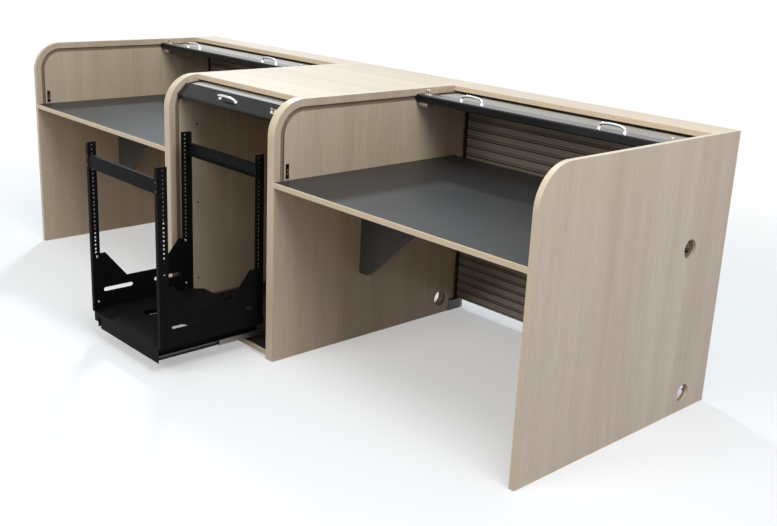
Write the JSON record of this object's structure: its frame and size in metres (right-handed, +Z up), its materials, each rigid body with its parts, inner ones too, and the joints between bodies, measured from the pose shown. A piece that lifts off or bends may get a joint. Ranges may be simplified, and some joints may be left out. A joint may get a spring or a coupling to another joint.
{
  "type": "tambour desk",
  "caption": "Long office desk with tambour curtains over its desk bays and a pull-out equipment rack in a centre bay between them.",
  "frame": {"origin": "on the floor under the middle of the box round the whole desk with the rack pulled out", "axes": "+Z up, -Y towards the person at the desk, +X towards the right end seen by that person"},
  "size_m": [2.994, 1.378, 0.9479],
  "materials": {
    "maple": "clear satin lacquer on pale maple veneer",
    "dark_laminate": "matt charcoal laminate",
    "black_bar": "black anodised, semi-gloss",
    "black_nylon": "black nylon",
    "zinc": "bright zinc plate",
    "bronze_slat": "dark bronze satin extrusion",
    "chrome": "polished chrome",
    "brass": "polished brass",
    "bracket_grey": "dark grey powder coat",
    "rack_black": "black powder coat"
  },
  "bodies": {
    "desk": {"left_end_panel": "maple", "right_end_panel": "maple", "left_rack_wall_outer": "maple", "left_rack_wall_inner": "maple", "right_rack_wall_inner": "maple", "right_rack_wall_outer": "maple", "centre_deck": "maple", "left_top_strip": "maple", "right_top_strip": "maple", "left_desktop": "maple", "right_desktop": "maple", "left_back_panel": "maple", "centre_back_panel": "maple", "right_back_panel": "maple", "rack_floor": "maple", "left_desk_laminate": "dark_laminate", "right_desk_laminate": "dark_laminate", "rack_floor_sheet": "dark_laminate", "left_desk_left_bracket": "bracket_grey", "left_desk_right_bracket": "bracket_grey", "right_desk_left_bracket": "bracket_grey", "right_desk_right_bracket": "bracket_grey", "strike_plates": "zinc", "track_end_stops": "rack_black", "rack_slide_outer": "zinc", "left_curtain": "bronze_slat", "centre_curtain": "bronze_slat", "right_curtain": "bronze_slat"},
    "left_bar": {"left_lead_bar": "black_bar", "left_bar_glides": "black_nylon", "left_bar_pulls": "chrome", "left_lock_cases": "zinc"},
    "right_bar": {"right_lead_bar": "black_bar", "right_bar_glides": "black_nylon", "right_bar_pulls": "chrome", "right_lock_cases": "zinc"},
    "centre_bar": {"centre_lead_bar": "black_bar", "centre_bar_glides": "black_nylon", "centre_bar_pull": "chrome", "centre_lock_cases": "zinc"},
    "left_bar_left_knob_body": {"left_bar_left_knob": "brass"},
    "left_bar_right_knob_body": {"left_bar_right_knob": "brass"},
    "right_bar_left_knob_body": {"right_bar_left_knob": "brass"},
    "right_bar_right_knob_body": {"right_bar_right_knob": "brass"},
    "centre_bar_right_knob_body": {"centre_bar_right_knob": "brass"},
    "rack": {"rack_base": "rack_black", "rack_left_side": "rack_black", "rack_right_side": "rack_black", "rack_front_left_post": "rack_black", "rack_front_right_post": "rack_black", "rack_rear_left_post": "rack_black", "rack_rear_right_post": "rack_black", "rack_front_crossbar": "rack_black", "rack_rear_crossbar": "rack_black", "rack_screws": "rack_black", "rack_slide_inner": "zinc"},
    "slide_middle": {"rack_slide_middle": "zinc"}
  },
  "joints": [
    {"name": "left_curtain_slide", "type": "slide", "parent": "desk", "child": "left_bar", "axis": [0, -1, 0], "range_m": [0, 0.525], "deforming": ["left_curtain"]},
    {"name": "right_curtain_slide", "type": "slide", "parent": "desk", "child": "right_bar", "axis": [0, -1, 0], "range_m": [0, 0.525], "deforming": ["right_curtain"]},
    {"name": "centre_curtain_turn", "type": "hinge", "parent": "desk", "child": "centre_bar", "pos_m": [0, -0.178, 0.815], "axis": [1, 0, 0], "range_deg": [-24, 33], "deforming": ["centre_curtain"]},
    {"name": "left_bar_left_knob_turn", "type": "hinge", "parent": "left_bar", "child": "left_bar_left_knob_body", "pos_m": [-1.442, 0.383, 0.921], "axis": [0, 0, 1], "range_deg": [0, 90]},
    {"name": "left_bar_right_knob_turn", "type": "hinge", "parent": "left_bar", "child": "left_bar_right_knob_body", "pos_m": [-0.39, 0.383, 0.921], "axis": [0, 0, 1], "range_deg": [0, 90]},
    {"name": "right_bar_left_knob_turn", "type": "hinge", "parent": "right_bar", "child": "right_bar_left_knob_body", "pos_m": [0.39, 0.383, 0.921], "axis": [0, 0, 1], "range_deg": [0, 90]},
    {"name": "right_bar_right_knob_turn", "type": "hinge", "parent": "right_bar", "child": "right_bar_right_knob_body", "pos_m": [1.442, 0.383, 0.921], "axis": [0, 0, 1], "range_deg": [0, 90]},
    {"name": "centre_bar_right_knob_turn", "type": "hinge", "parent": "centre_bar", "child": "centre_bar_right_knob_body", "pos_m": [0.28, -0.25009, 0.88965], "axis": [0, -0.6947, 0.7193], "range_deg": [0, 90]},
    {"name": "rack_slide", "type": "slide", "parent": "desk", "child": "rack", "axis": [0, 1, 0], "range_m": [0, 0.461]},
    {"name": "slide_middle_slide", "type": "slide", "parent": "desk", "child": "slide_middle", "axis": [0, 1, 0], "range_m": [0, 0.2305]}
  ],
  "couplings": [
    {"joint": "slide_middle_slide", "follows": "rack_slide", "ratio": 0.5}
  ]
}
